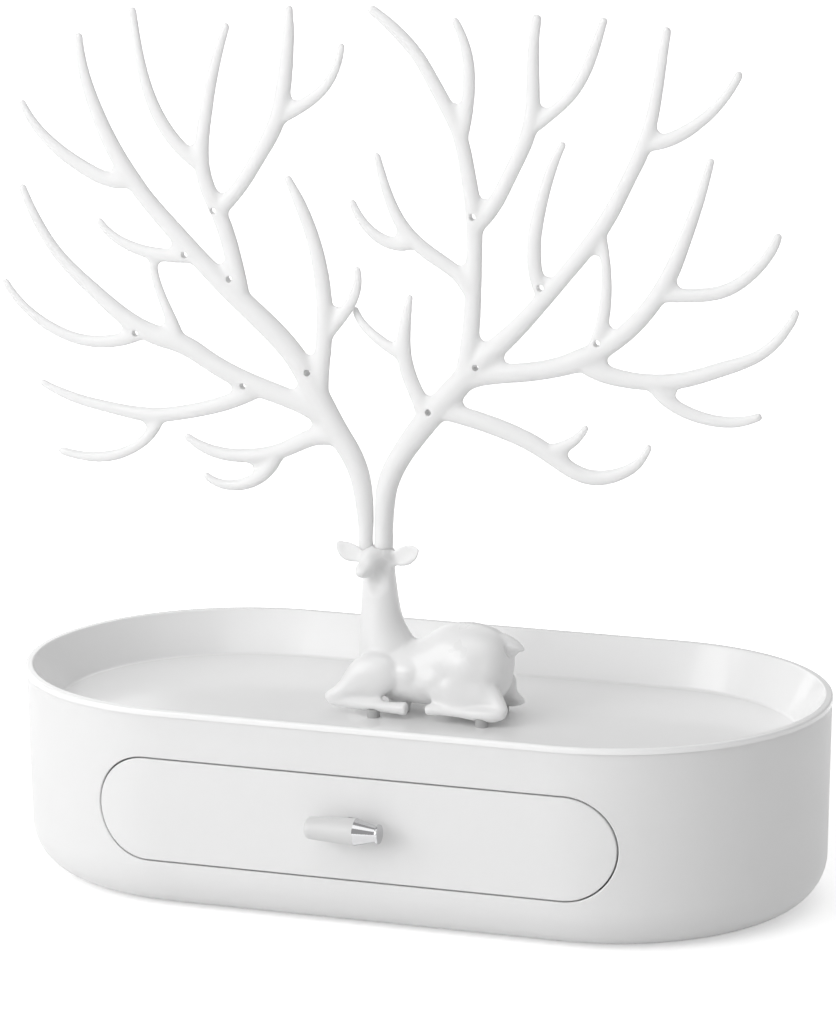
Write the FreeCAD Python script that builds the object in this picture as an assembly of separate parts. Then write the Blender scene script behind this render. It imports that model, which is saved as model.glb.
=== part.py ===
"""Jewellery stand: an obround box with one drawer, a dished top and a lying deer whose antlers
hold jewellery.

Millimetres, +Z up. The origin is the middle of the foot rim, on the surface that the stand
rests on. +X runs along the box, and the drawer opens towards -Y.
"""

import FreeCAD, Part
import math
import os

Vec = FreeCAD.Vector
UP = Vec(0, 0, 1)
BACK = Vec(0, 1, 0)

# ---- Box ----
length = 250.0              # over the rim of the tray
width = 128.0               # over the rim of the tray
box_height = 62.4           # from the table to the top of the rim
lip_height = 1.8            # height of the rim above the seam
lip_overhang = 0.3          # how far the rim stands proud of the wall below it
wall = 2.4                  # housing wall
floor_thickness = 2.4
draft = 1.25                # how much narrower each side is at the foot
foot_radius = 14.1          # round between the wall and the underside
rim_width = 4.2             # flat ring that the box stands on
rim_depth = 1.0             # the underside is this far above the table inside the ring
fit_gap = 0.2               # between pieces that plug together

# ---- Tray on top ----
tray_depth = 12.8           # from the top of the rim down to the tray floor
tray_floor = 2.5
tray_wall = 1.5
rim_inset = 2.3             # from the outside of the rim to the mouth of the tray
slope_inset = 9.5           # from the outside of the rim to the foot of the sloping wall
cove_radius = 1.2
lap_depth = 4.6             # height of the lap joint under the seam
lap_wall = 1.3              # housing wall that is left beside the lap joint

# ---- Drawer ----
front_margin = 44.6         # from each end of the box to the drawer front
front_share = 0.4984        # height of the drawer front as a share of the box's height
front_rise = 0.35           # of its middle line above half the box's height
front_gap = 0.45            # all round the drawer front
front_depth = 4.9           # thickness in the middle
window_depth = 13.0         # deep enough to cut the wall where it curves away
edge_round = 0.35           # on the outer edges of the drawer front and its window
bin_inset = 8.4             # from each end of the drawer front to the bin
bin_clearance = 7.1         # how much lower the bin is than the drawer front
bin_room = 18.0             # how much less deep the bin is than the box is wide
bin_wall = 2.2
bin_corner = 7.0
bin_foot = 1.5              # round under the bin
bin_cove = 3.0
kept_inside = 25.0          # of the bin when the drawer is right out
slide_gap = 0.3             # between the drawer and what it slides on
stop_width = 8.5            # lugs on the sides of the bin
stop_height = 5.0
stop_thickness = 3.0
runner_inset = 22.0         # from the side of the bin to each runner
runner_width = 3.0
guide_height = 7.0          # how far the side guides reach up beside the bin
guide_width = 2.0

# ---- Pull ----
pull_length = 23.0
pull_radius = 4.1           # at the thick end of the sleeve
sleeve_length = 15.6
sleeve_end_radius = 3.2
sleeve_round = 1.6
sleeve_bore = 1.5           # radius of the rod inside the sleeve
cone_step = 0.1             # how much thinner the cone starts than the sleeve ends
cone_end_radius = 2.3
pull_ring_radius = 2.9
pull_ring_width = 0.9
pull_standoff = 6.4         # from the drawer front to the middle of the pull
pull_rise = 1.3             # of the pull above the middle line of the drawer
stem_radius = 2.2
stem_seat = 0.6             # depth of the stem's recess in the drawer front
saddle_gap = 0.02           # between the stem and the rod that it carries
pull_screw_end = 2.6        # from the tip of the screw to the middle of the pull

# ---- Screws ----
screw_radius = 1.5
screw_head_radius = 2.8
screw_head_height = 1.8
screw_clearance = 0.15
front_screw_inset = 27.0    # from the side of the bin
front_screw_length = 5.2
cover_screw_margin = 1.8    # between the rubber plug and the foot rim
cover_screw_angle = 33.0    # degrees, seen from the middle of each round end
cover_screw_length = 14.0
boss_radius = 4.5
boss_web = 2.3              # under the head of a cover screw
boss_drop = 1.6             # the bosses meet this far below the drawer's middle line
tray_boss_radius = 4.0
deer_screw_length = 9.0
plug_radius = 5.5
plug_stem_height = 5.0

# ---- Deer ----
deer_height = 49.0          # from under the folded legs to the foot of the antlers
deer_setback = 3.0          # how far behind the middle of the tray the figure sits
leg_clearance = 1.5         # between the folded legs and the tray floor
post_radius = 3.2
pad_radius = 1.9            # soft pads under the folded legs
pad_recess = 1.0
pad_gap = 0.05
tenon_radius = 1.3
tenon_depth = 5.0
tenon_inset = 0.8           # from the middle of an antler's foot towards the middle of the head
socket_gap = 0.1
shoulder_depth = 0.4        # how far the foot of an antler may sink below the crown

# ---- Antlers ----
antler_height = 162.5       # from the crown to the highest tip
hole_radius = 0.75
ring_spacing = 6.0          # along every limb
loft_degree = 5

# ---- Worked out from the sizes above ----
rim_radius = width / 2
straight = length / 2 - rim_radius                  # half of the straight middle of the box
seam = box_height - lip_height
shell_radius = rim_radius - lip_overhang            # outside of the housing at the seam
foot_ring_radius = shell_radius - draft - foot_radius - rim_width     # inside of the foot rim
tray_level = box_height - tray_depth
housing_floor = rim_depth + floor_thickness
front_length = length - 2 * front_margin
front_height = front_share * box_height
front_middle = box_height / 2 + front_rise          # height of the drawer's middle line
front_radius = front_height / 2
front_face = shell_radius - draft * (1 - front_middle / seam)     # distance in front of the middle
bin_width = front_length - 2 * bin_inset
bin_height = front_height - bin_clearance
bin_depth = width - bin_room
bin_bottom = front_middle - bin_height / 2
bin_top = front_middle + bin_height / 2
bin_front = -(front_face - front_depth)
bin_back = bin_front + bin_depth
drawer_travel = bin_depth - kept_inside
runner_x = bin_width / 2 - runner_inset
front_screw_x = bin_width / 2 - front_screw_inset
boss_height = front_middle - boss_drop
pull_height = front_middle + pull_rise
pull_y = -(front_face + pull_standoff)
deer_feet = tray_level + leg_clearance
deer_unit = deer_height / 49                        # the deer's stations are drawn 49 tall
antler_unit = antler_height / 162.5                 # the antlers' stations are drawn 162.5 tall


def rounded(corners, axis_x=0.0, side=-1):
    """A closed face in the plane x = axis_x. Each corner is (radius, height, rounding)."""
    points = [Vec(axis_x, side * r, z) for r, z, _ in corners]
    starts = []
    ends = []
    edges = []
    for i, corner in enumerate(points):
        size = corners[i][2]
        to_last = (points[i - 1] - corner).normalize()
        to_next = (points[(i + 1) % len(points)] - corner).normalize()
        half = to_last.getAngle(to_next) / 2
        cut = size / math.tan(half)
        starts.append(corner + to_last * cut)
        ends.append(corner + to_next * cut)
        if size:
            middle = (to_last + to_next).normalize() * (size / math.sin(half) - size)
            edges.append(Part.Arc(starts[i], corner + middle, ends[i]).toShape())
        else:
            edges.append(None)
    loop = []
    for i, arc in enumerate(edges):
        if arc:
            loop.append(arc)
        following = starts[(i + 1) % len(points)]
        if ends[i].distanceToPoint(following) > 1e-6:
            loop.append(Part.LineSegment(ends[i], following).toShape())
    return Part.Face(Part.Wire(loop))


def obround(corners):
    """Sweep a (radius, height) section round the obround plan of the box."""
    right = rounded(corners, straight)
    left = rounded(corners, -straight, 1)
    pieces = [
        right.revolve(Vec(straight, 0, 0), UP, 180),
        left.revolve(Vec(-straight, 0, 0), UP, 180),
        rounded(corners, -straight).extrude(Vec(2 * straight, 0, 0)),
        left.extrude(Vec(2 * straight, 0, 0)),
    ]
    return join(pieces)


def join(pieces):
    """One solid from pieces that touch or overlap."""
    whole = pieces[0].fuse(pieces[1:]).removeSplitter()
    return whole.Solids[0] if len(whole.Solids) == 1 else whole


def rod(radius, height, x, y, z, direction=UP):
    return Part.makeCylinder(radius, height, Vec(x, y, z), direction)


def block(x0, x1, y0, y1, z0, z1):
    return Part.makeBox(x1 - x0, y1 - y0, z1 - z0, Vec(x0, y0, z0))


def window(grow, y0, y1):
    """The obround of the drawer front, larger by grow, as a bar from y0 to y1."""
    radius = front_radius + grow
    reach = front_length / 2 - front_radius
    ends = [rod(radius, y1 - y0, x, y0, front_middle, BACK) for x in (-reach, reach)]
    middle = block(-reach, reach, y0, y1, front_middle - radius, front_middle + radius)
    return join([middle] + ends)


def outer_form():
    """The housing's outside, filled in."""
    return obround([
        (0, 0, 0),
        (shell_radius - draft, 0, foot_radius),
        (shell_radius, seam, 0),
        (0, seam, 0),
    ])


def soft_edge(form, grow):
    """Round the outline that the window, larger by grow, leaves on the outside of form."""
    radius = front_radius + grow
    reach = front_length / 2 - front_radius
    outline = []
    for edge in form.Edges:
        middle = edge.valueAt((edge.FirstParameter + edge.LastParameter) / 2)
        beyond = max(0.0, abs(middle.x) - reach)
        from_outline = math.hypot(beyond, middle.z - front_middle) - radius
        if abs(from_outline) < 1e-3 and on_outside(middle):
            outline.append(edge)
    return form.makeFillet(edge_round, outline)


def on_outside(point):
    """Whether a point of the front lies on the housing's drafted outside."""
    radius = shell_radius - draft * (1 - point.z / seam)
    from_axis = math.hypot(max(0.0, abs(point.x) - straight), point.y)
    return point.y < 0 and abs(from_axis - radius) < 0.05


def screw(length_under_head, x, y, z, direction):
    """A pan head screw with the underside of its head at (x, y, z)."""
    direction = direction.normalize()
    shank = Part.makeCylinder(screw_radius, length_under_head, Vec(x, y, z), direction)
    head = Part.makeCylinder(screw_head_radius, screw_head_height, Vec(x, y, z), direction * -1)
    crown = [edge for edge in head.Edges
             if edge.CenterOfMass.distanceToPoint(Vec(x, y, z)) > screw_head_height / 2]
    return join([shank, head.makeFillet(screw_head_height * 0.4, crown)])


def cover_screw_places():
    """Just inside the foot rim, on both sides of each round end."""
    reach = foot_ring_radius - plug_radius - cover_screw_margin
    x = straight + reach * math.cos(math.radians(cover_screw_angle))
    y = reach * math.sin(math.radians(cover_screw_angle))
    return [(-x, -y), (-x, y), (x, -y), (x, y)]


def front_screw_places():
    return [(x, front_middle) for x in (-front_screw_x, front_screw_x)]


# ---- Housing ----

def housing():
    inner = shell_radius - wall
    ledge = seam - lap_depth
    shell = obround([
        (0, rim_depth, 0),
        (foot_ring_radius, rim_depth, 0),
        (foot_ring_radius, 0, 0),
        (shell_radius - draft, 0, foot_radius),
        (shell_radius, seam, 0),
        (shell_radius - lap_wall, seam, 0),
        (shell_radius - lap_wall, ledge, 0),
        (inner, ledge, 0),
        (inner - draft, housing_floor, foot_radius - wall),
        (0, housing_floor, 0),
    ])
    shell = shell.cut(window(front_gap, -rim_radius, -rim_radius + window_depth))
    shell = soft_edge(shell, front_gap)
    inside = Part.makeCompound(runners() + guides() + cover_bosses()).common(rooted_form())
    return join([shell] + inside.Solids).cut(Part.makeCompound(cover_screw_bores()))


def rooted_form():
    """The room inside the housing, grown to the middle of its walls, so that ribs root in them."""
    root = wall / 2
    return obround([
        (0, rim_depth + floor_thickness / 2, 0),
        (shell_radius - draft - root, rim_depth + floor_thickness / 2, foot_radius - root),
        (shell_radius - root, seam, 0),
        (0, seam, 0),
    ])


def runners():
    """Two ribs that the bin slides on, cut off where the closed drawer front stops."""
    start = bin_front + slide_gap
    return [
        block(x - runner_width / 2, x + runner_width / 2, start, start + bin_depth,
              0, bin_bottom - slide_gap)
        for x in (-runner_x, runner_x)
    ]


def guides():
    """A rib on each side that keeps the bin straight."""
    start = bin_front + slide_gap
    near = bin_width / 2 + slide_gap
    ribs = []
    for side in (-1, 1):
        x = side * (near + guide_width / 2)
        ribs.append(block(x - guide_width / 2, x + guide_width / 2, start, start + bin_depth,
                          0, bin_bottom + guide_height))
    return ribs


def cover_bosses():
    return [rod(boss_radius, boss_height, x, y, 0) for x, y in cover_screw_places()]


def cover_screw_bores():
    """A wide bore up to the head of each cover screw, and a narrow one through the web."""
    wide = screw_head_radius + 2 * screw_clearance
    narrow = screw_radius + screw_clearance
    head_level = boss_height - boss_web
    bores = []
    for x, y in cover_screw_places():
        bores.append(rod(wide, head_level, x, y, 0).fuse(rod(narrow, boss_height, x, y, 0)))
    return bores


def foot_plugs():
    """A rubber plug in the mouth of each screw bore, level with the foot rim."""
    stem = screw_head_radius + screw_clearance
    plugs = []
    for x, y in cover_screw_places():
        flange = rod(plug_radius, rim_depth, x, y, 0)
        plugs.append(join([flange, rod(stem, rim_depth + plug_stem_height, x, y, 0)]))
    return Part.makeCompound(plugs)


def cover_screws():
    return Part.makeCompound([
        screw(cover_screw_length, x, y, boss_height - boss_web, UP) for x, y in cover_screw_places()])


# ---- Top tray ----

def top_tray():
    foot = rim_radius - slope_inset
    mouth = rim_radius - rim_inset
    lean = (mouth - foot) / tray_depth
    ledge = seam - lap_depth + fit_gap
    underside = tray_level - tray_floor
    skirt = shell_radius - lap_wall - fit_gap
    below_ledge = foot + tray_wall + lean * (ledge - tray_level)
    dish = obround([
        (0, underside, 0),
        (foot + tray_wall - lean * tray_floor, underside, cove_radius + tray_wall),
        (below_ledge, ledge, 0),
        (skirt, ledge, 0),
        (skirt, seam, 0),
        (rim_radius, seam, 0),
        (rim_radius, box_height, 0.45 * lip_height),
        (mouth, box_height, 0.3 * lip_height),
        (foot, tray_level, cove_radius),
        (0, tray_level, 0),
    ])
    return join([dish] + tray_bosses() + hold_down_ribs()).cut(Part.makeCompound(tray_bores()))


def tray_bosses():
    top = tray_level - tray_floor / 2
    return [rod(tray_boss_radius, top - boss_height, x, y, boss_height)
            for x, y in cover_screw_places()]


def hold_down_ribs():
    """Ribs over the bin that keep it level when it is pulled out."""
    half = bin_depth / 2
    return [
        block(x - runner_width / 2, x + runner_width / 2, -half, half,
              bin_top + slide_gap, tray_level - tray_floor / 2)
        for x in (-runner_x, runner_x)
    ]


def tray_bores():
    """Pilot bores of the cover screws, and the two screws that hold the deer."""
    bores = [rod(screw_radius, cover_screw_length, x, y, boss_height) for x, y in cover_screw_places()]
    for place in post_places():
        bores.append(rod(screw_radius + screw_clearance, 2 * tray_floor, place.x, place.y,
                         tray_level - 1.5 * tray_floor))
    return bores


# ---- Drawer ----

def drawer_front():
    """A plate with the housing's own outside on its face and a flat back."""
    bar = window(0, -rim_radius, bin_front)
    plate = soft_edge(outer_form().common(bar), 0)
    seat_floor = -front_face + stem_seat
    bores = [rod(stem_radius + screw_clearance, front_depth, 0, seat_floor - front_depth,
                 pull_height, BACK)]
    bores.append(rod(screw_radius + screw_clearance, front_depth, 0, seat_floor, pull_height, BACK))
    for x, z in front_screw_places():
        bores.append(rod(screw_radius, front_screw_length, x,
                         bin_front + bin_wall - front_screw_length, z, BACK))
    return plate.cut(Part.makeCompound(bores))


def drawer_bin():
    """The open box behind the drawer front, with a stop lug on each side."""
    half = bin_width / 2
    outside = block(-half, half, bin_front, bin_back, bin_bottom, bin_top)
    outside = rounded_box(outside, bin_corner, bin_foot)
    room = block(-half + bin_wall, half - bin_wall, bin_front + bin_wall, bin_back - bin_wall,
                 bin_bottom + bin_wall, bin_top + bin_corner)
    room = rounded_box(room, bin_corner - bin_wall, bin_cove)
    bores = [rod(screw_radius + screw_clearance, 3 * bin_wall, x, bin_front - bin_wall, z, BACK)
             for x, z in front_screw_places() + [(0, pull_height)]]
    return join([outside] + stop_lugs()).cut(Part.makeCompound([room] + bores))


def rounded_box(box, corner, foot):
    """A box with rounded upright edges and a rounded foot."""
    upright = [edge for edge in box.Edges if abs(edge.tangentAt(0).z) > 0.9]
    box = box.makeFillet(corner, upright)
    low = box.BoundBox.ZMin
    return box.makeFillet(foot, [edge for edge in box.Edges if edge.BoundBox.ZMax < low + 1e-3])


def stop_lugs():
    """Lugs that meet the inside of the front wall when the drawer is right out."""
    reach = bin_width / 2 + stop_width
    inner = shell_radius - wall - draft * (1 - bin_top / seam)
    wall_inside = -math.sqrt(inner ** 2 - max(0.0, reach - straight) ** 2)
    start = wall_inside + drawer_travel + slide_gap
    lugs = []
    for side in (-1, 1):
        x0, x1 = sorted((side * (bin_width / 2 - bin_wall / 2), side * reach))
        lugs.append(block(x0, x1, start, start + stop_thickness, bin_top - stop_height, bin_top))
    return lugs


def front_screws():
    return Part.makeCompound([
        screw(front_screw_length, x, bin_front + bin_wall, z, BACK * -1)
        for x, z in front_screw_places()])


# ---- Pull ----

def turned(corners, x0):
    """Turn a (distance along X, radius) outline about the pull's own axis."""
    points = [Vec(x0 + along, pull_y, pull_height + radius) for along, radius in corners]
    face = Part.Face(Part.makePolygon(points + points[:1]))
    return face.revolve(Vec(x0, pull_y, pull_height), Vec(1, 0, 0), 360)


def stem_bar(radius, y0, y1):
    return rod(radius, y1 - y0, 0, y0, pull_height, BACK)


def pull_sleeve():
    start = -pull_length / 2
    sleeve = turned([(0, 0), (0, sleeve_end_radius), (sleeve_length, pull_radius), (sleeve_length, 0)],
                    start)
    end = [edge for edge in sleeve.Edges if edge.BoundBox.XMax < start + 1e-3 and edge.Length > 1
           and edge.Curve.TypeId == "Part::GeomCircle"]
    sleeve = sleeve.makeFillet(sleeve_round, end)
    bore = turned([(sleeve_round, 0), (sleeve_round, sleeve_bore + fit_gap / 2),
                   (sleeve_length, sleeve_bore + fit_gap / 2), (sleeve_length, 0)], start)
    return sleeve.cut([bore, stem_bar(stem_radius + fit_gap / 2, pull_y, 0)])


def pull_end():
    """The turned end: a cone with a thin ring, and the rod that the sleeve sits on."""
    start = -pull_length / 2
    rod_start = sleeve_round + fit_gap
    cone_end = pull_length - pull_ring_width
    end = turned([
        (rod_start, 0), (rod_start, sleeve_bore), (sleeve_length, sleeve_bore),
        (sleeve_length, pull_radius - cone_step), (cone_end, cone_end_radius),
        (cone_end, pull_ring_radius), (pull_length, pull_ring_radius), (pull_length, 0),
    ], start)
    ring = [edge for edge in end.Edges if edge.BoundBox.XMin > start + cone_end - 1e-3
            and abs(edge.BoundBox.ZLength - 2 * pull_ring_radius) < 1e-3]
    return end.makeFillet(0.3 * pull_ring_width, ring)


def pull_stem():
    """The post between the drawer front and the rod, with a saddle for the rod."""
    post = stem_bar(stem_radius, pull_y, -(front_face - stem_seat))
    hollow = sleeve_bore + saddle_gap
    saddle = turned([(0, 0), (0, hollow), (pull_length, hollow), (pull_length, 0)], -pull_length / 2)
    return post.cut([saddle, stem_bar(screw_radius, pull_y + pull_screw_end, 0)])


def pull_screw():
    head = bin_front + bin_wall
    return screw(head - pull_y - pull_screw_end, 0, head, pull_height, BACK * -1)


# ---- Lofted forms ----

def ring(centre, across, along, half_across, half_deep):
    """An ellipse round centre, square to along, with its half_across axis near across."""
    forward = Vec(along).normalize()
    deep = forward.cross(across).normalize()
    wide = deep.cross(forward)
    if half_across == half_deep:
        curve = Part.Circle(centre, forward, half_across)
        curve.XAxis = wide
    elif half_across > half_deep:
        curve = Part.Ellipse(centre + wide * half_across, centre + deep * half_deep, centre)
    else:
        curve = Part.Ellipse(centre + deep * half_deep, centre - wide * half_across, centre)
    return Part.Wire([curve.toShape()])


def limb(stations, across):
    """A smooth tapering limb: each station is (centre, half_across, half_deep)."""
    centres = [station[0] for station in stations]
    rings = []
    for i, (centre, half_across, half_deep) in enumerate(stations):
        last = centres[max(i - 1, 0)]
        following = centres[min(i + 1, len(centres) - 1)]
        rings.append(ring(centre, across, following - last, half_across, half_deep))
    return Part.makeLoft(rings, True, False, False, loft_degree)


def long_limb(stations, across):
    """A limb with its rings set evenly along a smooth curve through the stations' centres."""
    centres = [station[0] for station in stations]
    lengths = [0.0]
    for last, following in zip(centres, centres[1:]):
        lengths.append(lengths[-1] + last.distanceToPoint(following))
    path = Part.BSplineCurve()
    path.interpolate(Points=centres, Parameters=lengths)
    count = math.ceil(lengths[-1] / ring_spacing)
    rings = []
    for i in range(count + 1):
        where = lengths[-1] * i / count
        half_across, half_deep = widths_at(where, lengths, stations)
        rings.append(ring(path.value(where), across, path.tangent(where)[0], half_across, half_deep))
    return Part.makeLoft(rings, True, False, False, loft_degree)


def widths_at(where, lengths, stations):
    """The half widths between the two stations on either side."""
    i = max(k for k in range(len(lengths) - 1) if lengths[k] <= where)
    share = (where - lengths[i]) / (lengths[i + 1] - lengths[i])
    _, wide, deep = stations[i]
    _, next_wide, next_deep = stations[i + 1]
    return wide + share * (next_wide - wide), deep + share * (next_deep - deep)


def grow_together(limbs):
    """Join free forms one after another, which is quicker than all at once."""
    whole = limbs[0]
    for piece in limbs[1:]:
        whole = whole.fuse(piece)
    return whole.Solids[0] if len(whole.Solids) == 1 else whole


# ---- Deer ----

post_x = (-9.0, 13.0)
pad_places = ((-14.0, 9.5), (20.5, 9.6))


def spot(x, y, z):
    """A place on the deer: along, across and up from the middle under its folded legs."""
    return Vec(x, y, z) * deer_unit + Vec(0, deer_setback, deer_feet)


def post_places():
    return [spot(x, 0, 0) for x in post_x]


def deer_limb(stations, across=BACK):
    """Stations are (x, y, z, half_across, half_deep) on the deer."""
    return limb([(spot(x, y, z), wide * deer_unit, deep * deer_unit)
                 for x, y, z, wide, deep in stations], across)


def trunk_form():
    """Chest, hollow back and round rump. Half widths, then half heights."""
    return deer_limb([
        (-19.8, 0, 12.6, 3.0, 3.5),
        (-17.0, 0, 12.4, 6.2, 7.6),
        (-9.0, 0, 11.8, 8.6, 9.6),
        (-1.0, 0, 11.5, 8.9, 10.0),
        (7.0, 0, 13.8, 9.6, 12.2),
        (14.0, 0, 14.6, 10.2, 13.0),
        (21.0, 0, 13.6, 9.6, 11.6),
        (25.0, 0, 12.6, 6.2, 7.6),
        (26.3, 0, 12.5, 2.6, 3.2),
    ])


def neck_form():
    return deer_limb([
        (-11.0, 0, 13.0, 7.2, 9.1),
        (-13.5, 0, 20.0, 6.6, 8.4),
        (-14.7, 0, 27.0, 5.5, 6.5),
        (-15.1, 0, 33.0, 4.9, 5.7),
        (-15.3, 0, 39.0, 4.6, 5.1),
        (-15.4, 0, 45.0, 4.4, 4.9),
    ])


def head_form():
    """From the back of the skull to the nose, turned towards the front left."""
    return deer_limb([
        (-14.2, 4.4, 45.6, 2.4, 2.2),
        (-14.6, 2.6, 45.6, 4.7, 4.0),
        (-15.4, -1.0, 45.0, 5.4, 4.7),
        (-16.2, -4.6, 44.2, 4.1, 3.7),
        (-17.0, -7.6, 43.4, 3.0, 2.6),
        (-17.5, -9.4, 42.9, 2.3, 1.9),
        (-17.6, -10.0, 42.8, 1.4, 1.1),
    ], Vec(0.97, -0.25, 0))


def ear_forms():
    left = deer_limb([
        (-19.0, -1.0, 45.2, 1.3, 1.0),
        (-22.2, -1.6, 46.5, 2.1, 1.0),
        (-25.2, -2.0, 47.8, 2.2, 0.8),
        (-27.4, -2.3, 49.3, 1.3, 0.5),
        (-28.2, -2.5, 50.0, 0.5, 0.3),
    ], UP)
    right = deer_limb([
        (-12.0, -1.0, 45.2, 1.3, 1.0),
        (-8.8, -1.4, 46.2, 2.0, 1.0),
        (-5.4, -1.8, 47.8, 2.3, 0.8),
        (-2.8, -2.0, 49.2, 1.4, 0.5),
        (-1.8, -2.2, 49.8, 0.5, 0.3),
    ], UP)
    return [left, right]


def folded_front_leg(side):
    """Shoulder and forearm down to the knee, then the shank back to the hoof."""
    forearm = deer_limb([
        (-7.2, side * 6.6, 9.0, 1.8, 3.2),
        (-9.8, side * 6.8, 10.6, 3.4, 6.0),
        (-14.0, side * 7.0, 10.9, 4.0, 6.9),
        (-18.0, side * 7.6, 9.8, 3.6, 6.0),
        (-21.4, side * 8.4, 7.6, 2.7, 4.0),
        (-25.2, side * 9.2, 5.0, 2.0, 2.3),
        (-28.0, side * 9.5, 3.8, 1.6, 1.7),
        (-29.3, side * 9.5, 3.4, 0.8, 0.9),
    ])
    shank = deer_limb([
        (-28.0, side * 9.5, 2.8, 1.4, 1.6),
        (-16.5, side * 9.5, 2.1, 1.6, 1.7),
        (-6.5, side * 9.5, 1.9, 1.7, 1.8),
        (-3.3, side * 9.5, 1.9, 1.9, 2.0),
    ])
    return [forearm, shank]


def folded_rear_leg(side):
    """Haunch, then the hock at the back, with the shank lying forward to the hoof."""
    haunch = deer_limb([
        (3.8, side * 6.4, 6.0, 1.6, 2.6),
        (8.0, side * 7.0, 7.4, 3.0, 5.4),
        (14.5, side * 7.4, 8.8, 3.6, 7.2),
        (20.0, side * 7.0, 8.0, 3.0, 6.0),
        (24.0, side * 7.6, 5.8, 2.3, 3.6),
        (26.8, side * 8.8, 4.0, 1.6, 2.0),
        (28.3, side * 9.3, 3.3, 0.8, 0.9),
    ])
    shank = deer_limb([
        (27.8, side * 9.4, 3.2, 1.2, 1.4),
        (24.5, side * 9.6, 2.4, 2.0, 2.1),
        (15.0, side * 9.6, 2.3, 1.6, 1.7),
        (6.0, side * 9.5, 2.4, 1.5, 1.6),
        (2.8, side * 9.5, 2.2, 1.6, 1.5),
    ])
    return [haunch, shank]


def tail_form():
    """A short flat tail that stands off the rump."""
    return deer_limb([
        (18.5, 0.6, 23.2, 1.4, 0.9),
        (22.0, 1.0, 22.9, 2.0, 1.2),
        (25.5, 1.4, 20.9, 2.2, 1.3),
        (28.2, 1.8, 19.2, 1.6, 1.2),
    ])


def deer_posts():
    """Two screw posts under the belly."""
    belly = spot(0, 0, 8).z
    return [rod(post_radius, belly - tray_level, place.x, place.y, tray_level)
            for place in post_places()]


def deer_pads():
    """Soft pads that the folded legs rest on, set into the legs."""
    return Part.makeCompound(pad_rods(pad_radius))


def pad_rods(radius):
    height = leg_clearance + pad_recess
    return [rod(radius, height, place.x, place.y, tray_level)
            for place in (spot(x, side * y, 0) for x, y in pad_places for side in (-1, 1))]


def deer():
    forms = [trunk_form(), neck_form(), head_form(), tail_form()] + ear_forms() + deer_posts()
    for side in (-1, 1):
        forms += folded_front_leg(side) + folded_rear_leg(side)
    bores = [rod(screw_radius, deer_screw_length, place.x, place.y, tray_level)
             for place in post_places()]
    for limbs in (left_limbs, right_limbs):
        foot = antler_spot(limbs[0][0])
        peg = tenon_foot(limbs[0][0])
        bores.append(rod(limbs[0][0][2] * antler_unit + socket_gap, tray_depth, foot.x, foot.y,
                         foot.z - shoulder_depth))
        bores.append(rod(tenon_radius + socket_gap, tenon_depth, peg.x, peg.y,
                         peg.z - tenon_depth - socket_gap))
    whole = grow_together(forms).cut(Part.makeCompound(bores))
    return whole.cut(Part.makeCompound(pad_rods(pad_radius + pad_gap)))


def deer_screws():
    return Part.makeCompound([
        screw(deer_screw_length, place.x, place.y, tray_level - tray_floor, UP)
        for place in post_places()])


# ---- Antlers ----

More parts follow.
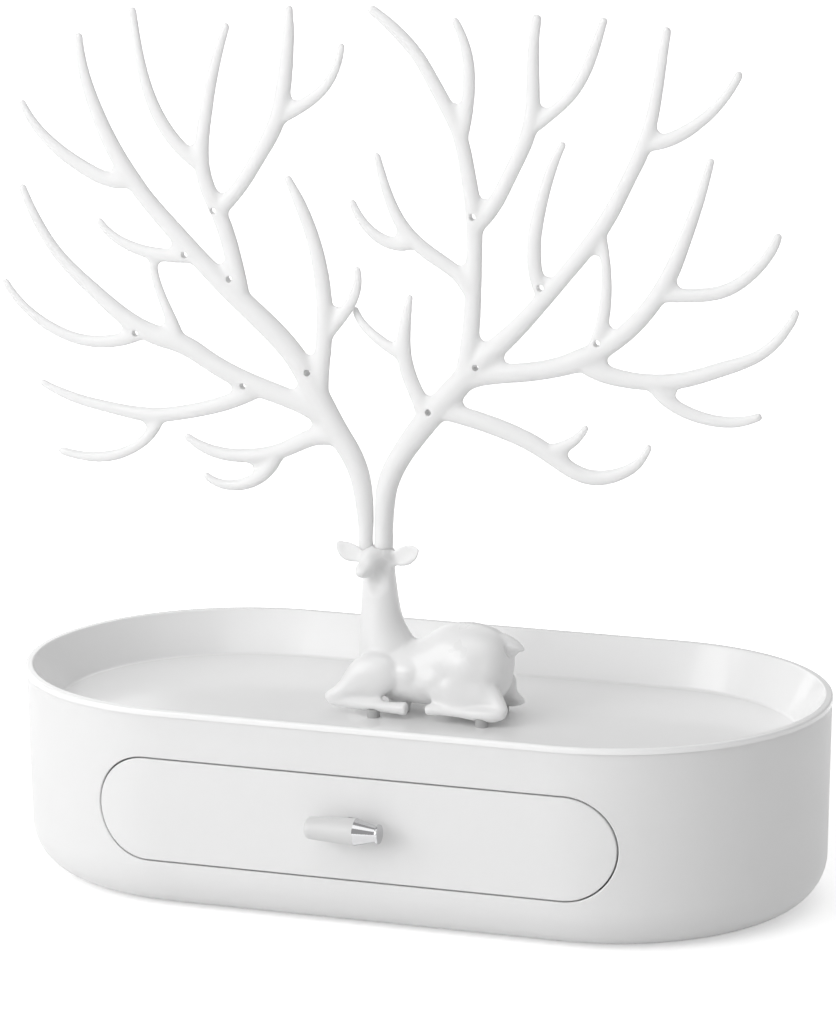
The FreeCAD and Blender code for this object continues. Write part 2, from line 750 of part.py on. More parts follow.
# Stations of every limb: across from the middle of the crown, up from it, and the limb's radius.
# A fourth number sets a station that far behind the others.
crown = spot(-16.1, 0, 49.0)
left_limbs = [
    [(-3.4, -1, 2.0), (-3.4, 3.5, 2.0), (-3.5, 8.5, 2.3), (-4.3, 17, 2.8), (-6.5, 25, 3.1),
     (-12, 34, 3.4), (-18, 44, 3.7), (-26, 57, 3.3), (-35.5, 66.5, 3.3), (-45.5, 75, 3.1),
     (-55, 83.5, 2.7), (-64, 92.5, 2.6), (-73, 102, 2.4), (-77, 107, 2.5), (-82.5, 115, 2.5),
     (-88, 126, 2.1), (-92, 137, 1.7), (-94, 151, 1.1)],
    [(-76, 108, 1.9), (-84.5, 107, 2.1), (-93.5, 110.5, 2.0), (-101.5, 115.5, 1.8), (-108.5, 122, 1.4),
     (-113.5, 130, 1.0)],
    [(-42, 72, 2.3), (-43.4, 78, 2.5), (-45.4, 86.5, 2.5), (-49, 97.5, 2.4), (-54, 109, 2.3),
     (-53.5, 127.5, 1.9), (-50.5, 142, 1.6), (-46, 156, 1.0)],
    [(-55.5, 113.5, 2.0), (-62.8, 119.2, 2.0), (-68.5, 127, 1.9), (-73.5, 140.5, 1.5),
     (-76.5, 159.5, 1.1)],
    [(-49, 100.5, 2.2), (-42.2, 107.8, 2.1), (-36.5, 116.5, 2.1), (-31, 126.5, 2.4), (-28, 139, 2.2),
     (-26.5, 152.5, 1.7), (-26, 162, 1.1)],
    [(-31, 127.5, 1.8), (-22.5, 132.5, 1.8), (-15, 138.5, 1.4), (-10.5, 147, 1.1), (-9.5, 151.5, 0.9)],
    [(-55.5, 85.5, 2.0), (-66.5, 85, 1.9), (-76.5, 86.5, 1.6), (-85.5, 91, 1.2), (-89, 95, 0.9)],
    [(-17, 39.5, 3.2), (-26, 43, 2.8), (-40.5, 47.5, 2.9), (-53.5, 53.5, 2.7), (-62, 58, 2.9),
     (-71.7, 60.6, 2.9), (-79.2, 64.2, 2.5), (-91.5, 73.5, 2.0), (-102, 83, 1.7), (-110, 95, 1.4),
     (-114, 104, 1.1)],
    [(-76, 60.5, 1.9), (-85.5, 57.5, 1.8), (-96, 57.5, 1.6), (-106, 61, 1.5), (-114.5, 67, 1.2),
     (-120.5, 74.5, 1.0)],
    [(-63.5, 58.5, 2.2), (-67, 68.5, 1.5), (-70.5, 78, 1.2), (-71, 85.5, 1.2)],
    [(-37, 46, 2.2), (-46.5, 41.5, 2.2), (-62, 37, 2.0), (-73, 35.5, 2.1), (-83.5, 36.5, 1.7),
     (-99, 39.5, 1.4), (-109, 43.5, 1.0)],
    [(-70, 36, 1.8), (-72.5, 30.5, 1.6), (-78.5, 25, 1.4), (-88, 21.5, 1.5), (-98.5, 21.5, 1.2),
     (-103.5, 22.5, 0.9)],
    [(-13.5, 33, 2.8), (-20.5, 32, 2.5), (-30, 27.5, 2.2), (-41, 25, 2.0), (-52, 25.5, 1.7),
     (-61.5, 30, 1.1)],
    [(-31.5, 27, 2.0), (-37, 19.2, 2.0), (-42.3, 16.3, 1.7), (-51.5, 16, 1.2), (-55.5, 18.5, 0.9)],
    [(-18.5, 44, 3.0), (-17, 55, 2.4), (-16, 66, 2.4), (-16.5, 79, 2.3), (-19.5, 93, 2.0),
     (-23, 102, 1.8), (-27.5, 111, 1.1)],
    [(-15.5, 63.5, 1.8), (-9.5, 71, 1.7), (-6.5, 76, 1.5), (-5.5, 85, 0.9)],
]
right_limbs = [
    [(2.1, -1, 2.6), (2.5, 8.5, 2.7), (4, 20, 3.1), (8.8, 29.5, 3.2), (15, 38, 3.5), (24.5, 49, 3.6),
     (35.5, 60.5, 3.1), (43.5, 68, 2.7), (50.5, 75.5, 2.4), (60, 86.5, 2.2), (66.5, 94.5, 2.3),
     (72.5, 103, 2.3), (79, 115, 2.0), (83.5, 124.5, 2.1), (88, 142, 1.6), (91, 160.5, 1.2)],
    [(84.5, 126, 1.9), (94, 129, 1.9), (101.5, 134, 1.6), (108, 140.5, 1.3), (113, 148.5, 1.1)],
    [(53.5, 79, 2.0), (51, 85, 2.1), (50.5, 97.5, 2.0), (52.5, 107, 1.7), (55.5, 117, 1.5),
     (59.5, 125.5, 1.0)],
    [(28.5, 54, 3.0), (30.5, 68.5, 2.5), (31.5, 88, 2.3), (31.5, 102, 2.4), (29.5, 116, 2.2),
     (27, 126.5, 2.1), (21, 138, 2.0), (13.5, 150, 1.8), (6.8, 156.8, 1.7), (-0.6, 162.5, 1.3)],
    [(27.5, 124.5, 2.0), (30, 138, 1.8), (30, 147.5, 1.7), (25.5, 160.5, 1.0)],
    [(32, 99, 2.3), (38.5, 107, 2.2), (43, 115.5, 2.1), (49, 129.5, 2.2), (50, 143.5, 1.9),
     (51.5, 162.5, 1.3)],
    [(49, 129, 1.7), (57, 135, 1.6), (63.5, 142, 1.6), (68, 151, 1.5), (72, 162.5, 1.1)],
    [(31, 79.5, 2.4), (24.5, 86, 2.0), (16.5, 91, 2.1), (9.5, 97.5, 1.9), (5, 106, 1.5),
     (1, 119.5, 1.0)],
    [(13, 94, 1.8), (7, 92.5, 1.8), (2, 94, 1.6), (-2, 97, 1.4), (-7, 105, 1.0)],
    [(23, 47.5, 3.0), (31, 53.5, 2.8), (41, 55.5, 2.7), (55.5, 58, 2.7), (66.5, 62, 3.2),
     (73.4, 66, 2.4), (80, 71.5, 2.5), (86.5, 79, 2.4), (91.5, 87, 2.4), (96, 97.5, 2.0),
     (100.8, 110.5, 1.5), (104.5, 123, 1.0)],
    [(89.5, 82, 1.9), (99.5, 82.5, 1.9), (109, 84.5, 1.8), (117, 90, 1.6), (123, 97.5, 1.4),
     (125, 102, 1.0)],
    [(64.5, 60.5, 2.6), (72, 57.5, 2.6), (81, 56, 2.3), (95.5, 57, 2.2), (109, 61.5, 2.0),
     (118.7, 65.6, 1.6), (125.5, 71.5, 1.4), (130.5, 80, 1.0)],
    [(86, 56.5, 1.9), (92.5, 50, 1.9), (101, 46.5, 1.7), (110.5, 45.5, 1.5), (120, 48, 1.1)],
    [(68, 63, 2.0), (71.5, 73.5, 1.8), (72.5, 88.5, 1.4), (71, 99.5, 1.2)],
    [(19, 43.5, 2.6), (29.5, 41.5, 2.6), (39, 39, 2.6), (52.5, 33.5, 2.5), (60.5, 28.5, 2.2),
     (65, 26.5, 2.2), (75, 27, 1.9), (83.5, 32.5, 1.2), (86, 37, 1.0)],
    [(54.5, 32.5, 2.0), (60, 35, 1.7), (63.5, 37.5, 1.3), (66.5, 41.5, 0.9)],
    [(17, 40.5, 2.8), (12.5, 49, 2.2), (9.5, 58, 2.2), (9.5, 67, 1.8), (11.5, 77.5, 0.9)],
    [(10, 59, 1.8), (4, 61.5, 1.6, 0.5), (-1, 64.5, 1.4, 1.8), (-5, 68, 1.2, 3.0),
     (-7.2, 72.3, 0.9, 4.0)],
]
left_holes = [(-51, 99.5), (-46, 79), (-60.5, 85.5), (-77, 60.5), (-42, 46.5), (-21, 52)]
right_holes = [(31.5, 102), (52.5, 82), (32.5, 57), (70, 66.5), (17.5, 42.5)]


def antler_spot(station):
    """The place of a station."""
    depth = station[3] if len(station) > 3 else 0
    return crown + Vec(station[0], depth, station[1]) * antler_unit


def tenon_foot(root):
    """The middle of a tenon where it leaves the antler, nearer to the middle of the head."""
    foot = antler_spot(root)
    inwards = 1 if foot.x < crown.x else -1
    return foot + Vec(inwards * tenon_inset, 0, 0)


def antler(limbs, holes):
    """Every limb lofted and joined, with a tenon in the head and small hanging holes."""
    pieces = []
    for stations in limbs:
        rounds = [(antler_spot(s), s[2] * antler_unit, s[2] * antler_unit) for s in stations]
        pieces.append(long_limb(rounds, BACK))
    peg = tenon_foot(limbs[0][0])
    pieces.append(rod(tenon_radius, 1.5 * tenon_depth, peg.x, peg.y, peg.z - tenon_depth))
    whole = grow_together(pieces)
    through = 4 * tenon_depth
    bores = []
    for hole in holes:
        place = antler_spot(hole)
        bores.append(rod(hole_radius, through, place.x, place.y - through / 2, place.z, BACK))
    return whole.cut(Part.makeCompound(bores))


def left_antler():
    return antler(left_limbs, left_holes)


def right_antler():
    return antler(right_limbs, right_holes)


parts = {
    "housing": housing,
    "foot_plugs": foot_plugs,
    "cover_screws": cover_screws,
    "top_tray": top_tray,
    "drawer_front": drawer_front,
    "drawer_bin": drawer_bin,
    "drawer_front_screws": front_screws,
    "pull_sleeve": pull_sleeve,
    "pull_end": pull_end,
    "pull_stem": pull_stem,
    "pull_screw": pull_screw,
    "deer": deer,
    "deer_pads": deer_pads,
    "deer_screws": deer_screws,
    "left_antler": left_antler,
    "right_antler": right_antler,
}

os.makedirs("parts", exist_ok=True)
for name, make in parts.items():
    shape = make()
    shape.exportStep("parts/" + name + ".step")
    print(name, len(shape.Solids), "solid(s), volume", round(shape.Volume), "valid", shape.isValid())
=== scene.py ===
# %% [markdown]
# # A jewellery stand in white plastic
#
# The construction is already finished in CAD: an obround box with a drawer, a dished tray and a
# lying deer whose antlers hold jewellery. This lesson dresses that model. It keeps the moulded
# shells as they are and gives them materials, regrows the deer and the antlers so that their
# limbs flow into each other, models the figure by soft pulls, and lights it all evenly.

# %% Load the construction
import math

import bmesh
import bpy
from mathutils import Matrix, Vector


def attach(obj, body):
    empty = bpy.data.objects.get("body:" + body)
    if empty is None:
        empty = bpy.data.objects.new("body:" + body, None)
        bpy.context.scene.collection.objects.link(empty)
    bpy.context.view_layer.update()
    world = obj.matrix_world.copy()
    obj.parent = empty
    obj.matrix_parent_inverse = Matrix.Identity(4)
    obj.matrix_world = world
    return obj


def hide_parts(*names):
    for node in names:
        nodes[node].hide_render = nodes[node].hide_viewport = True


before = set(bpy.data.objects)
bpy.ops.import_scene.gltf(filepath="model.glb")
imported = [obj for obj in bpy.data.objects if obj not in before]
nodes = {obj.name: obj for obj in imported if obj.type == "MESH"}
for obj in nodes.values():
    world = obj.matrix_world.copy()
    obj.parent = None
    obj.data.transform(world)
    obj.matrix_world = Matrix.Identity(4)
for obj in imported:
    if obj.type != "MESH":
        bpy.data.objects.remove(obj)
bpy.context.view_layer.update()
MM = 0.001
print("nodes", sorted(nodes))

# %% [markdown]
# ## Camera
#
# A small product is usually shown from well back through a long lens, so that its parallel edges
# stay almost parallel. The camera stands to the right of the drawer and above the rim.
# `to_track_quat` turns it to its aim, and one more small turn about its own view line sets the
# tilt of the picture.

# %% Camera
camera_place = Vector((0.5468, -1.4868, 0.4816))
camera_aim = Vector((-0.00165, 0.0, 0.11236))
camera_roll = math.radians(-0.42)
camera_lens = 191.6
sensor_height = 36.0

camera_data = bpy.data.cameras.new("camera")
camera_data.lens = camera_lens
camera_data.sensor_fit = "VERTICAL"
camera_data.sensor_height = sensor_height
camera = bpy.data.objects.new("camera", camera_data)
bpy.context.scene.collection.objects.link(camera)
turn = (camera_aim - camera_place).to_track_quat("-Z", "Y").to_matrix().to_4x4()
camera.matrix_world = Matrix.Translation(camera_place) @ turn @ Matrix.Rotation(camera_roll, 4, "Z")
bpy.context.scene.camera = camera
bpy.context.scene.view_settings.view_transform = "Standard"
print("camera", tuple(camera_place), "lens", camera_lens)

# %% [markdown]
# ## Node helpers
#
# Every finish below is built from nodes, so a few short helpers keep the cells readable: one makes
# a material with its Principled shader, one adds a node, and one adds noise on Object coordinates,
# which stay put on the piece when it moves.

# %% Node helpers
def new_material(name):
    """A node material, its tree and its Principled shader."""
    material = bpy.data.materials.new(name)
    material.use_nodes = True
    tree = material.node_tree
    return material, tree, tree.nodes["Principled BSDF"]


def add_node(tree, kind, **settings):
    node = tree.nodes.new(kind)
    for key, value in settings.items():
        setattr(node, key, value)
    return node


def noise_on_object(tree, scale, detail=3.0):
    """Noise with features about 1 / scale metres across."""
    place = add_node(tree, "ShaderNodeTexCoord")
    noise = add_node(tree, "ShaderNodeTexNoise")
    noise.inputs["Scale"].default_value = scale
    noise.inputs["Detail"].default_value = detail
    tree.links.new(place.outputs["Object"], noise.inputs["Vector"])
    return noise.outputs["Fac"]


noise_low, noise_high = 0.3, 0.7


def remap(tree, value, low, high):
    """Spread a noise, whose values lie mostly between noise_low and noise_high."""
    node = add_node(tree, "ShaderNodeMapRange")
    node.inputs["From Min"].default_value = noise_low
    node.inputs["From Max"].default_value = noise_high
    node.inputs["To Min"].default_value = low
    node.inputs["To Max"].default_value = high
    tree.links.new(value, node.inputs["Value"])
    return node.outputs["Result"]


def blend_colours(tree, value, first, second, starts=0.2, ends=0.8):
    """Mix two colours by a 0 to 1 value: all first below starts, all second above ends."""
    ramp = add_node(tree, "ShaderNodeValToRGB")
    for stop, position, colour in zip(ramp.color_ramp.elements, (starts, ends), (first, second)):
        stop.position = position
        stop.color = (*colour, 1)
    tree.links.new(value, ramp.inputs["Fac"])
    return ramp.outputs["Color"]


def add_bump(tree, shader, height, depth):
    """A bump whose full height is depth metres."""
    bump = add_node(tree, "ShaderNodeBump")
    bump.inputs["Distance"].default_value = depth
    tree.links.new(height, bump.inputs["Height"])
    tree.links.new(bump.outputs["Normal"], shader.inputs["Normal"])


print("node helpers ready")

# %% [markdown]
# ## White plastics
#
# The box and the antlers are satin, the figure is glossier and the tray is polished. All are the
# same white polymer, so one function makes them with different roughness. A slow noise shifts the
# colour and the gloss by a hair, as flow in the mould does, and a fine one gives the skin its
# grain. Light enters such plastic and leaves it again nearby, so a share of the light scatters
# below the skin. It softens the shading, most of all on the thin limbs.

# %% White plastics
flow_scale, gloss_scale, grain_scale = 18.0, 60.0, 2600.0
flow_tone = 0.99
plastic_ior = 1.5
coat_roughness = 0.08
scatter_depth = 2.5 * MM


def grey(value):
    return (value, value, value)


def white_plastic(name, tone, roughness, grain_depth, coat=0.0, glow=0.0):
    """Grain depth in metres; glow is the share of light that scatters below the skin."""
    material, tree, shader = new_material(name)
    flow = noise_on_object(tree, flow_scale)
    colour = blend_colours(tree, flow, grey(flow_tone * tone), grey(tone))
    tree.links.new(colour, shader.inputs["Base Color"])
    gloss = noise_on_object(tree, gloss_scale)
    tree.links.new(remap(tree, gloss, 0.9 * roughness, 1.1 * roughness), shader.inputs["Roughness"])
    grain = noise_on_object(tree, grain_scale, 2.0)
    add_bump(tree, shader, grain, grain_depth)
    shader.inputs["IOR"].default_value = plastic_ior
    shader.inputs["Coat Weight"].default_value = coat
    shader.inputs["Coat Roughness"].default_value = coat_roughness
    shader.inputs["Subsurface Weight"].default_value = glow
    shader.inputs["Subsurface Radius"].default_value = (1, 1, 1)
    shader.inputs["Subsurface Scale"].default_value = scatter_depth
    return material


box_white = white_plastic("satin_box_white", 0.78, 0.42, 0.02 * MM, glow=0.25)
front_white = white_plastic("satin_front_white", 0.79, 0.42, 0.02 * MM, glow=0.25)
bin_white = white_plastic("bin_white", 0.76, 0.5, 0.03 * MM)
tray_white = white_plastic("polished_tray_white", 0.88, 0.2, 0.005 * MM, coat=0.3)
deer_white = white_plastic("glossy_deer_white", 0.80, 0.3, 0.004 * MM, coat=0.15, glow=0.3)
antler_white = white_plastic("antler_white", 0.80, 0.42, 0.008 * MM, glow=0.6)
sleeve_grey = white_plastic("sleeve_grey", 0.66, 0.38, 0.01 * MM)
print("white plastics made")

# %% [markdown]
# ## Metal and rubber
#
# Chrome plate is nearly a mirror, so it lives from what it reflects. Its roughness is low and
# slightly uneven. The screws are zinc plated and duller. The foot plugs are soft rubber with a dry
# skin. The pads under the deer's legs are rubber in a darker grey, and that grey also paints the
# shade in the narrow gap under the legs.

# %% Metal and rubber
mottle_scale, mottle_tone = 400.0, 1.08
rubber_roughness = 0.75
rubber_grain_scale, rubber_grain_depth = 3000.0, 0.04 * MM


def metal(name, tone, roughness, wear_scale):
    material, tree, shader = new_material(name)
    shader.inputs["Metallic"].default_value = 1.0
    shader.inputs["Base Color"].default_value = (*tone, 1)
    wear = noise_on_object(tree, wear_scale)
    tree.links.new(remap(tree, wear, 0.7 * roughness, 1.4 * roughness), shader.inputs["Roughness"])
    return material


def rubber(name, tone):
    material, tree, shader = new_material(name)
    mottle = noise_on_object(tree, mottle_scale)
    colour = blend_colours(tree, mottle, grey(tone), grey(mottle_tone * tone))
    tree.links.new(colour, shader.inputs["Base Color"])
    shader.inputs["Roughness"].default_value = rubber_roughness
    add_bump(tree, shader, noise_on_object(tree, rubber_grain_scale), rubber_grain_depth)
    return material


chrome = metal("chrome", (0.60, 0.60, 0.61), 0.1, 300.0)
screw_zinc = metal("screw_zinc", (0.62, 0.62, 0.64), 0.35, 900.0)
foot_rubber = rubber("foot_rubber", 0.62)
# The pads' darker grey is rubber and also painted shade for the dark gap under the deer's legs.
pad_rubber = rubber("pad_rubber", 0.40)
print("metal and rubber made")

# %% [markdown]
# ## Dress the moulded shells
#
# A CAD node whose shape is right stays, and only its material changes. Clearing the slots first
# and adding one material gives the whole node that finish.

# %% Dress the moulded shells
def dress(node, material):
    mesh = nodes[node].data
    mesh.materials.clear()
    mesh.materials.append(material)


finishes = {
    "housing": box_white,
    "drawer_front": front_white,
    "drawer_bin": bin_white,
    "top_tray": tray_white,
    "deer": deer_white,
    "left_antler": antler_white,
    "right_antler": antler_white,
    "pull_sleeve": sleeve_grey,
    "pull_end": chrome,
    "pull_stem": chrome,
    "pull_screw": screw_zinc,
    "cover_screws": screw_zinc,
    "drawer_front_screws": screw_zinc,
    "deer_screws": screw_zinc,
    "foot_plugs": foot_rubber,
    "deer_pads": pad_rubber,
}
for node, material in finishes.items():
    dress(node, material)
print("dressed", len(finishes), "nodes")

# %% [markdown]
# ## Figure and antlers in one flowing skin
#
# The CAD limbs are separate tubes cut into each other, so each fork has a crease. A moulded one
# has a soft web there. Voxel remeshing a copy gives it an even skin, and a closing then rounds
# only its hollows: the skin is pushed out, remeshed so that it merges in the forks, and pulled
# back by the same amount. A few rounds of smoothing finish it. The deer's tail is a flat blade,
# which goes into the copy before the first remeshing and so grows together with it.

# %% Flowing skin
def apply_modifiers(piece):
    """Replace the piece's mesh by what its modifiers make of it."""
    depsgraph = bpy.context.evaluated_depsgraph_get()
    finished = bpy.data.meshes.new_from_object(piece.evaluated_get(depsgraph))
    piece.modifiers.clear()
    piece.data = finished


def voxel_skin(piece, voxel):
    remesh = piece.modifiers.new("skin", "REMESH")
    remesh.mode = "VOXEL"
    remesh.voxel_size = voxel
    remesh.use_smooth_shade = True
    apply_modifiers(piece)


def push_skin(piece, distance):
    push = piece.modifiers.new("push", "DISPLACE")
    push.strength = distance
    push.mid_level = 0.0
    apply_modifiers(piece)


def smooth_skin(piece, rounds):
    smooth = piece.modifiers.new("smooth", "SMOOTH")
    smooth.iterations = rounds
    smooth.factor = 0.5
    apply_modifiers(piece)


def add_blade(skin, root, tip, half_wide, half_thick):
    """Add a flat blade from root to tip, level across; lengths in millimetres."""
    root, tip = Vector(root) * MM, Vector(tip) * MM
    turn = (tip - root).to_track_quat("X", "Z").to_matrix().to_4x4()
    sizes = Matrix.Diagonal(((tip - root).length / 2, half_wide * MM, half_thick * MM, 1.0))
    bmesh.ops.create_uvsphere(skin, u_segments=32, v_segments=16, radius=1.0,
                              matrix=Matrix.Translation((root + tip) / 2) @ turn @ sizes)


def flowing_copy(node, name, voxel, web, rounds, regain, blades=()):
    """A copy of a CAD node with webs of radius web in its forks.

    Smoothing eats a little of thin limbs, and regain gives that thickness back.
    """
    piece = bpy.data.objects.new(name, nodes[node].data.copy())
    bpy.context.scene.collection.objects.link(piece)
    skin = bmesh.new()
    skin.from_mesh(piece.data)
    bmesh.ops.remove_doubles(skin, verts=skin.verts, dist=weld_distance)
    for blade in blades:
        add_blade(skin, *blade)
    skin.to_mesh(piece.data)
    skin.free()
    voxel_skin(piece, voxel)
    smooth_skin(piece, rounds_before_web)
    push_skin(piece, web)
    voxel_skin(piece, voxel)
    push_skin(piece, -web)
    voxel_skin(piece, voxel)
    smooth_skin(piece, rounds)
    push_skin(piece, regain)
    piece.data.materials.clear()
    piece.data.materials.append(finishes[node])
    piece.data.shade_smooth()
    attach(piece, "stand")
    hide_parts(node)
    print(name, len(piece.data.polygons), "faces")
    return piece


weld_distance = 0.002 * MM
rounds_before_web = 2
tail_blade = ((21.5, 4.0, 76.0), (30.6, 4.0, 71.2), 2.6, 1.25)
deer_figure = flowing_copy("deer", "deer_figure", voxel=0.4 * MM, web=0.7 * MM, rounds=4,
                           regain=0.1 * MM, blades=[tail_blade])
branches = {}
for side in ("left", "right"):
    branches[side] = flowing_copy(side + "_antler", side + "_branches", voxel=0.5 * MM,
                                  web=1.5 * MM, rounds=4, regain=0.3 * MM)

# %% [markdown]
# ## Flattened limbs
#
# The moulded limbs are a little flatter from front to back than they are wide, which makes their
# light even and lets one look through the hanging holes. Each point moves towards the antlers'
# middle plane by a share that grows from the foot upwards, so the feet stay round in the head.

# %% Flattened limbs
crown = Vector((-16.1, 3.0, 100.2)) * MM
flat_share = 0.35
foot_height, flat_height = 6 * MM, 34 * MM


def flatten(piece):
    skin = bmesh.new()
    skin.from_mesh(piece.data)
    for vert in skin.verts:
        rise = (vert.co.z - crown.z - foot_height) / (flat_height - foot_height)
        share = flat_share * min(max(rise, 0.0), 1.0)
        vert.co.y += share * (crown.y - vert.co.y)
    skin.to_mesh(piece.data)
    skin.free()
    print(piece.name, "is", round(piece.dimensions.y / MM, 1), "mm deep")


for piece in branches.values():
    flatten(piece)

# %% [markdown]
# ## Hanging holes
#
# Small holes through the thick forks take earring hooks. The closing above filled them, so they
# are drilled again here: one bmesh holds a thin cylinder for every hole, and a Boolean takes them
# away in one step. Places are across and up from the crown, where the antlers leave the head.

# %% Hanging holes
hole_radius = 1.0 * MM
drill_length = 20 * MM
drill_sides = 24
hole_places = {
    "left": [(-51, 99.5), (-46, 79), (-60.5, 85.5), (-77, 60.5), (-42, 46.5), (-21, 52)],
    "right": [(31.5, 102), (52.5, 82), (32.5, 57), (70, 66.5), (17.5, 42.5)],
}


def drill(piece, places):
    """Cut a round hole from front to back at every place."""
    drills = bmesh.new()
    for across, up in places:
        middle = Matrix.Translation(crown + Vector((across, 0.0, up)) * MM)
        bmesh.ops.create_cone(drills, cap_ends=True, segments=drill_sides, radius1=hole_radius,
                              radius2=hole_radius, depth=drill_length,
                              matrix=middle @ Matrix.Rotation(math.pi / 2, 4, "X"))
    mesh = bpy.data.meshes.new("drills")
    drills.to_mesh(mesh)
    drills.free()
    cutter = bpy.data.objects.new("drills", mesh)
    bpy.context.scene.collection.objects.link(cutter)
    holes = piece.modifiers.new("holes", "BOOLEAN")
    holes.operation = "DIFFERENCE"
    holes.solver = "EXACT"
    holes.object = cutter
    apply_modifiers(piece)
    bpy.data.objects.remove(cutter)


for side, places in hole_places.items():
    drill(branches[side], places)
    print(side, len(places), "holes,", len(branches[side].data.polygons), "faces")

# %% [markdown]
# ## Modelling the figure by soft pulls
#
# A carved figure gets its life from small swellings and hollows. Each pull moves the points near
# a place by a short way and fades out smoothly at its reach, as a thumb does in clay. Places,
# reaches and moves are in millimetres. What shapes a flank is done on both sides of the figure's
# middle plane: its place is along, across from that plane and up, and its move is outwards and up.
# A few rounds of smoothing take the marks away.

# %% Soft pulls
figure_middle = 3.0
single_pulls = {
    "brow": ((-15.6, -3.6, 98.4), 3.6, (-0.2, -0.9, 0.3)),
    "nose tip": ((-17.7, -7.0, 94.2), 2.4, (-0.3, -0.7, -0.3)),
    "right cheek": ((-12.0, -2.6, 94.0), 4.4, (-0.9, 2.0, 1.1)),
    "left cheek": ((-19.4, -1.8, 94.2), 3.6, (0.8, 1.0, 0.4)),
    "muzzle right": ((-15.2, -5.6, 93.2), 2.6, (-0.6, 0.5, 0.6)),
    "throat": ((-14.4, -2.4, 89.5), 4.6, (0.0, 1.3, 0.0)),
    "under the tail": ((25.4, 1.6, 71.4), 2.6, (-1.2, 0.4, -0.9)),
    "far hock": ((27.0, 12.0, 56.5), 5.0, (-1.6, -0.8, -1.0)),
}
flank_pulls = {
    "belly": ((4.0, 8.8, 60.5), 6.0, (1.4, 0.2)),
    "above the haunch": ((14.0, 9.0, 68.0), 7.0, (0.9, 0.0)),
    "behind the shoulder": ((-4.0, 8.6, 64.0), 4.5, (0.8, 0.0)),
    "haunch": ((15.0, 11.0, 59.5), 6.0, (-0.7, 0.0)),
}
crown_ridge = ((-16.1, 3.0, 99.0), 3.6)
flank_along, flank_across, flank_up, flank_reach = 9.0, 9.0, 63.0, 10.0
ridge_rounds, flank_rounds = 8, 12


def pull(skin, place, reach, move):
    place, move, reach = Vector(place) * MM, Vector(move) * MM, reach * MM
    for vert in skin.verts:
        share = 1.0 - (vert.co - place).length_squared / reach ** 2
        if share > 0.0:
            vert.co += move * share * share


def smooth_around(skin, place, reach, rounds):
    place = Vector(place) * MM
    near = [vert for vert in skin.verts if (vert.co - place).length < reach * MM]
    for _ in range(rounds):
        bmesh.ops.smooth_vert(skin, verts=near, factor=0.5,
                              use_axis_x=True, use_axis_y=True, use_axis_z=True)


skin = bmesh.new()
skin.from_mesh(deer_figure.data)
for place, reach, move in single_pulls.values():
    pull(skin, place, reach, move)
for (along, across, up), reach, (out, lift) in flank_pulls.values():
    for side in (-1, 1):
        pull(skin, (along, figure_middle + side * across, up), reach, (0.0, side * out, lift))
smooth_around(skin, *crown_ridge, ridge_rounds)
for side in (-1, 1):
    flank = (flank_along, figure_middle + side * flank_across, flank_up)
    smooth_around(skin, flank, flank_reach, flank_rounds)
skin.to_mesh(deer_figure.data)
skin.free()
print("pulled", len(single_pulls) + 2 * len(flank_pulls), "places")

# %% [markdown]
# ## Ears
#
# Each ear is a leaf with a shallow hollow on its front. Its points are first moved apart across
# the leaf, which widens it, and then the front skin is pressed back, most in the middle of the
# leaf and not at all at its edge.

# %% Ears
ear_half_width, ear_wider, ear_hollow = 2.0, 1.35, 0.75
ear_thickness = 3.0
faces_front = -0.1


def shape_ear(root, tip):
    """Widen the leaf between root and tip and press its front in; lengths in millimetres."""
    root, tip = Vector(root) * MM, Vector(tip) * MM
    along = (tip - root).normalized()
    middle = (root + tip) / 2
    half_length = (tip - root).length / 2
    skin = bmesh.new()
    skin.from_mesh(deer_figure.data)
    for vert in skin.verts:
        offset = vert.co - middle
        lengthwise = offset.dot(along) / half_length
        crosswise = offset - along * offset.dot(along)
        crosswise.y = 0.0
        inside = max(0.0, 1.0 - lengthwise ** 2)
        widths_off = crosswise.length / (ear_half_width * MM)
        if inside and abs(offset.y) < ear_thickness * MM and widths_off < 2.0:
            vert.co += crosswise * (ear_wider - 1.0) * inside ** 0.5
            reach = widths_off ** 2 + lengthwise ** 2
            if reach < 1.0 and vert.normal.y < faces_front:
                vert.co.y += ear_hollow * MM * (1.0 - reach)
    skin.to_mesh(deer_figure.data)
    skin.free()


shape_ear((-19.8, 1.6, 96.6), (-28.4, 0.4, 101.4))
shape_ear((-11.0, 1.8, 96.4), (-1.6, 0.8, 101.2))
deer_figure.data.shade_smooth()
print("ears shaped")

# %% [markdown]
# ## Floor
#
# White on white needs care: the floor has to look white while the object still shows its shape.
# The floor is a large pale plane. For camera and mirror rays it glows a little, so that it
# reaches white but still darkens where the object shades it. The glow grows with the distance
# from the stand, which makes up for the lamps' fall-off, so the far floor meets the white world.

# %% Floor
floor_tone, floor_roughness = 0.86, 0.6
near_glow, far_glow = 0.45, 1.0
near_distance, far_distance = 0.15, 0.7
floor_half_size = 12.0


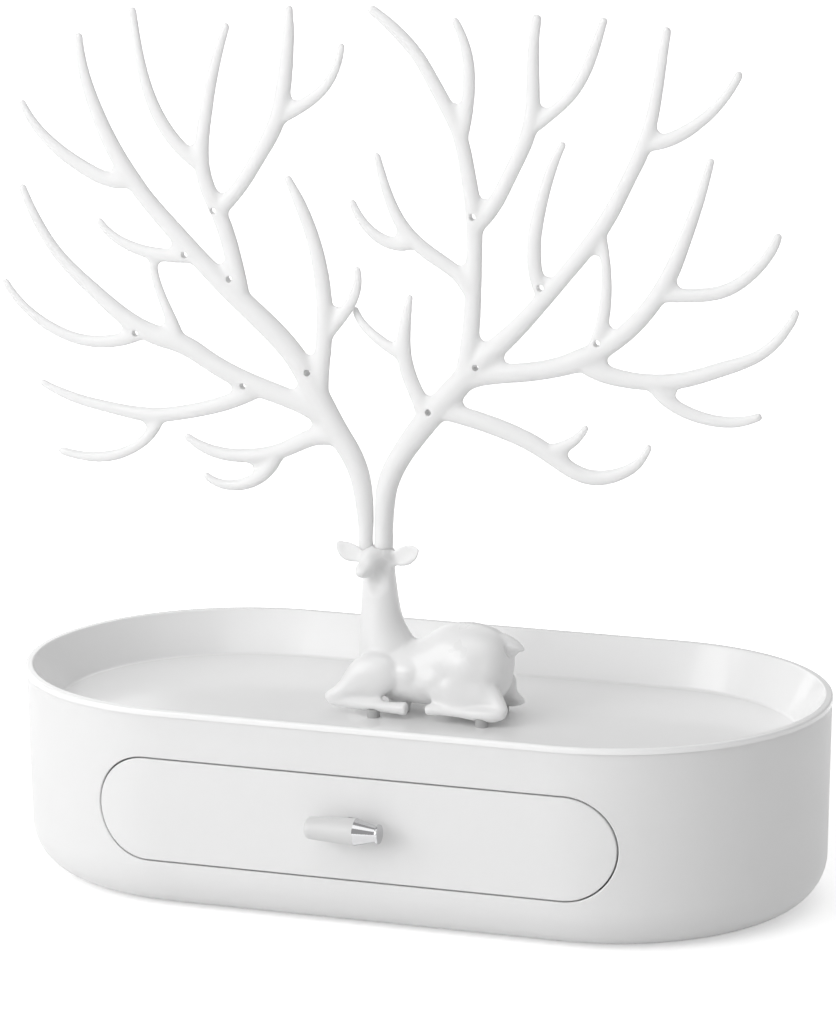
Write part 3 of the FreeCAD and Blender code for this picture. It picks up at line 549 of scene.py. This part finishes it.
def floor_material():
    material, tree, shader = new_material("floor_white")
    shader.inputs["Base Color"].default_value = (*grey(floor_tone), 1)
    shader.inputs["Roughness"].default_value = floor_roughness
    path = add_node(tree, "ShaderNodeLightPath")
    seen = add_node(tree, "ShaderNodeMath", operation="MAXIMUM")
    tree.links.new(path.outputs["Is Camera Ray"], seen.inputs[0])
    tree.links.new(path.outputs["Is Glossy Ray"], seen.inputs[1])
    place = add_node(tree, "ShaderNodeTexCoord")
    distance = add_node(tree, "ShaderNodeVectorMath", operation="LENGTH")
    tree.links.new(place.outputs["Object"], distance.inputs[0])
    spread = add_node(tree, "ShaderNodeMapRange")
    spread.inputs["From Min"].default_value = near_distance
    spread.inputs["From Max"].default_value = far_distance
    spread.inputs["To Min"].default_value = near_glow
    spread.inputs["To Max"].default_value = far_glow
    tree.links.new(distance.outputs["Value"], spread.inputs["Value"])
    glow = add_node(tree, "ShaderNodeMath", operation="MULTIPLY")
    tree.links.new(seen.outputs[0], glow.inputs[0])
    tree.links.new(spread.outputs["Result"], glow.inputs[1])
    shader.inputs["Emission Color"].default_value = (1, 1, 1, 1)
    tree.links.new(glow.outputs[0], shader.inputs["Emission Strength"])
    return material


plane = bmesh.new()
bmesh.ops.create_grid(plane, x_segments=1, y_segments=1, size=floor_half_size)
floor_mesh = bpy.data.meshes.new("floor")
plane.to_mesh(floor_mesh)
plane.free()
floor_mesh.materials.append(floor_material())
floor = bpy.data.objects.new("floor", floor_mesh)
bpy.context.scene.collection.objects.link(floor)
print("floor", 2 * floor_half_size, "m across")

# %% [markdown]
# ## Light
#
# Five large softboxes stand well back, so their light is even and their edges stay soft. The
# strongest is in front on the left, so the drawer side is the brightest. Three moderate ones in
# front, above in front and above behind light the tray and the tops of the antlers, and a weak
# one behind on the left lifts the far side. Nothing stands on the right, so the round end falls
# into shade. The world gives the even rest of the light, at half strength so that the shadows
# stay, while the camera sees it plain white. The lamps stay low enough that no face clips.

# %% Light
def area_light(name, place, aim, size, power):
    data = bpy.data.lights.new(name, "AREA")
    data.shape = "RECTANGLE"
    data.size, data.size_y = size
    data.energy = power
    lamp = bpy.data.objects.new(name, data)
    bpy.context.scene.collection.objects.link(lamp)
    direction = (Vector(aim) - Vector(place)).to_track_quat("-Z", "Y").to_matrix().to_4x4()
    lamp.matrix_world = Matrix.Translation(place) @ direction


middle = (0.0, 0.0, 0.1)
world_fill, world_seen = 0.47, 1.0
area_light("left_front", (-1.4, -1.4, 0.9), middle, (1.6, 1.4), 18.5)
area_light("front", (-0.7, -2.0, 0.8), middle, (1.4, 1.2), 7.0)
area_light("above_front", (0.0, -1.1, 1.9), middle, (1.6, 1.2), 6.5)
area_light("above_back", (0.0, 1.4, 1.7), middle, (1.8, 1.2), 6.5)
area_light("back_left", (-1.5, 1.5, 0.9), middle, (1.6, 1.2), 5.0)

world = bpy.data.worlds.new("studio")
world.use_nodes = True
tree = world.node_tree
background = tree.nodes["Background"]
path = add_node(tree, "ShaderNodeLightPath")
level = add_node(tree, "ShaderNodeMapRange")
level.inputs["To Min"].default_value = world_fill
level.inputs["To Max"].default_value = world_seen
tree.links.new(path.outputs["Is Camera Ray"], level.inputs["Value"])
tree.links.new(level.outputs["Result"], background.inputs["Strength"])
background.inputs["Color"].default_value = (1, 1, 1, 1)
bpy.context.scene.world = world
